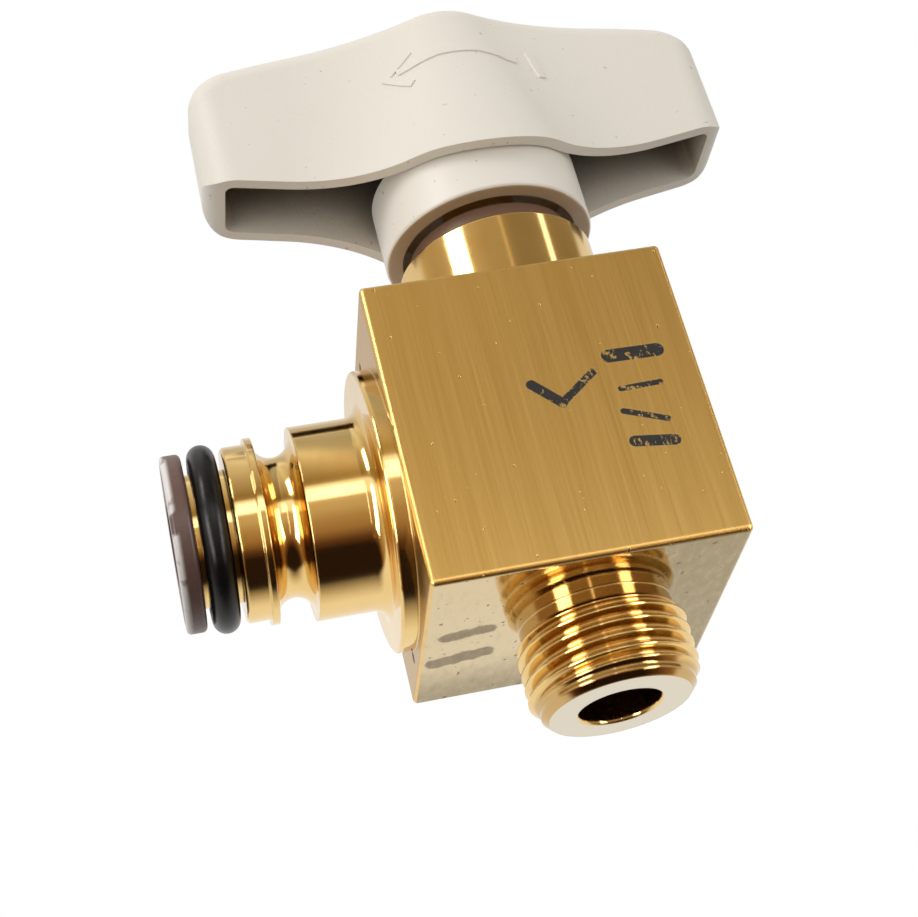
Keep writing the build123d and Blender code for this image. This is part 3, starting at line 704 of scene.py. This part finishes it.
def plastic(name, colours, rough, grain, depth, hollow_shade=0.0, sole_shade=None):
    """Moulded plastic with a mottle of the given grain and depth in metres, and dark specks.

    Deep recesses darken with painted shade, by the share given. Faces that look straight down
    take painted shade of the colour given, if one is given.
    """
    material, tree, shader = new_material(name)
    place = tree.place()
    fine = tree.noise(place, 1.0 / grain, detail=2.0)
    broad = tree.noise(place, 90.0)
    specks = tree.step(tree.noise(place, 1300.0, detail=1.0), 0.755, 0.785)
    colour = tree.blend(tree.times(fine, broad), *colours)
    colour = tree.blend(tree.times(specks, 0.45), colour, SPECK)
    if hollow_shade:
        # Painted shade: the deeper a recess, the darker its colour.
        open_sky = tree.add("ShaderNodeAmbientOcclusion", samples=8, only_local=True)
        open_sky.inputs["Distance"].default_value = HOLLOW_REACH
        deep_shade = tree.step(open_sky.outputs["AO"], 0.48, 0.18)
        colour = tree.blend(tree.times(deep_shade, hollow_shade), colour, HOLLOW_SHADE)
    # Painted shade on faces that look straight down.
    if sole_shade:
        _, _, up = tree.facing()
        colour = tree.blend(tree.step(up, -0.80, -0.92), colour, sole_shade)
    tree.link(colour, shader.inputs["Base Color"])
    tree.link(tree.between(fine, rough - 0.05, rough + 0.05), shader.inputs["Roughness"])
    tree.link(tree.bump(fine, depth), shader.inputs["Normal"])
    return material


def nose_plastic():
    """Brown sleeve whose outer corner is worn pale in patches."""
    material, tree, shader = new_material("plastic_brown_worn")
    place = tree.place()
    x, y, z = tree.parts(tree.scaled(place, 1 / MM))
    fine = tree.noise(place, 2000.0, detail=2.0)
    patches = tree.step(tree.noise(place, 420.0), 0.34, 0.48)
    radius = tree.reach(y, tree.math("SUBTRACT", z, INLET_Z))
    outer = tree.step(x, NOSE_LOW.x + 0.8, NOSE_LOW.x + 0.3)
    corner = tree.times(outer, tree.step(radius, NOSE_RADIUS - 1.3, NOSE_RADIUS - 0.6))
    colour = tree.blend(fine, *BROWN_NOSE)
    colour = tree.blend(tree.times(corner, patches, 0.95), colour, WORN_PALE)
    tree.link(colour, shader.inputs["Base Color"])
    tree.link(tree.between(fine, 0.33, 0.45), shader.inputs["Roughness"])
    tree.link(tree.bump(fine, 10 * MICRON), shader.inputs["Normal"])
    return material


# ---- finishes of the pieces ---------------------------------------------------------

BEIGE_PLASTIC = plastic(
    "plastic_beige", BEIGE, rough=0.5, grain=0.35 * MM, depth=30 * MICRON, hollow_shade=0.8)
WHITE_PLASTIC = plastic(
    "plastic_white", WHITE, rough=0.42, grain=0.6 * MM, depth=8 * MICRON, sole_shade=SOLE_SHADE)
BROWN_PLASTIC = plastic(
    "plastic_brown", BROWN_BUSH, rough=0.4, grain=0.5 * MM, depth=10 * MICRON)
WHITE_PTFE = plastic("ptfe_white", PTFE, rough=0.5, grain=0.4 * MM, depth=10 * MICRON)

# Material, its slot in the record, the nodes that have it.
FINISHES = [
    (body_brass(), "body_brass", ["valve_body"]),
    (turned_brass(), "turned_brass", ["bonnet", "seat_insert", "spindle"]),
    (rubber(), "black_rubber",
     ["seat_o_ring", "bonnet_o_ring", "inlet_o_ring", "stem_o_ring_lower", "stem_o_ring_upper"]),
    (BROWN_PLASTIC, "brown_plastic", ["guide_bush"]),
    (nose_plastic(), "brown_plastic", ["inlet_nose_sleeve"]),
    (steel(), "stainless", ["needle", "needle_retaining_ring", "handle_washer", "handle_screw"]),
    (WHITE_PTFE, "white_ptfe", ["stem_thrust_washer", "stem_backup_ring"]),
    (WHITE_PLASTIC, "white_plastic", ["handle_skirt"]),
    (BEIGE_PLASTIC, "beige_plastic", ["handle", "handle_cap"]),
]

for finish, slot, node_names in FINISHES:
    for node_name in node_names:
        piece = NODES[node_name]
        piece.data.materials.clear()
        piece.data.materials.append(finish)


# ---- raised turn arrow on the handle ------------------------------------------------

ARROW_LIFT = 0.16 * MM          # above the handle's skin
ARROW_ROOT = 0.25 * MM          # below it
ARROW_TOP_SHARE = 0.8           # a line's width on top, over its width at the skin
ARROW_PITCH = 0.45 * MM         # spacing of the points laid on the skin
ARROW_START_Y = -30 * MM        # in front of the handle, where its points set out
REST_DEGREES = 1.9              # the closed handle against the block
REST_TURN = Matrix.Rotation(radians(REST_DEGREES), 3, "Z")
# Each line: (x, z) points in the handle's own elevation and the line's width, in mm.
ARROW_LINES = [
    ([(-6.6, 71.9), (-2.2, 72.6), (2.2, 72.6), (6.6, 71.9)], 1.1),
    ([(-4.9, 74.4), (-8.0, 71.6), (-5.5, 69.3)], 1.1),
    ([(8.6, 73.9), (9.2, 69.9)], 1.0),
]


def skin_finder(node_name):
    """Function that drops a point of the front elevation onto a node's front skin."""
    mesh = NODES[node_name].data
    points = [vertex.co.copy() for vertex in mesh.vertices]
    tree = BVHTree.FromPolygons(points, [tuple(polygon.vertices) for polygon in mesh.polygons])

    def find(x, z):
        start = REST_TURN @ Vector((x * MM, ARROW_START_Y, z * MM))
        hit, normal, _, _ = tree.ray_cast(start, REST_TURN @ Vector((0, 1, 0)))
        return hit, normal

    return find


def stations_along(path, width):
    """Points at about ARROW_PITCH along the path, each with its half width across."""
    stations = []
    for (x0, z0), (x1, z1) in zip(path, path[1:]):
        run = Vector((x1 - x0, z1 - z0))
        across = Vector((-run.y, run.x)).normalized() * width / 2
        count = max(2, round(run.length * MM / ARROW_PITCH))
        stations += [((x0 + run.x * i / count, z0 + run.y * i / count), across) for i in range(count)]
    return stations + [((x1, z1), across)]


def raised_line(path, width, find, points, faces):
    """Add a closed strip along the path, laid on the skin."""
    profile = [
        (-ARROW_TOP_SHARE, ARROW_LIFT), (ARROW_TOP_SHARE, ARROW_LIFT),
        (1, -ARROW_ROOT), (-1, -ARROW_ROOT),
    ]
    stations = stations_along(path, width)
    first = len(points)
    for (x, z), across in stations:
        for side, height in profile:
            hit, normal = find(x + across.x * side, z + across.y * side)
            points.append(hit + normal * height)
    corners = len(profile)
    end = first + corners * (len(stations) - 1)
    for low in range(first, end, corners):
        for k in range(corners):
            after = (k + 1) % corners
            faces.append((low + k, low + after, low + corners + after, low + corners + k))
    faces.append(tuple(first + k for k in reversed(range(corners))))
    faces.append(tuple(end + k for k in range(corners)))


def add_turn_arrow():
    points, faces = [], []
    find = skin_finder("handle")
    for path, width in ARROW_LINES:
        raised_line(path, width, find, points, faces)
    arrow = add_mesh("turn_arrow", points, faces, smooth=False)
    arrow.data.materials.append(BEIGE_PLASTIC)
    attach(arrow, "handle_spindle")


add_turn_arrow()
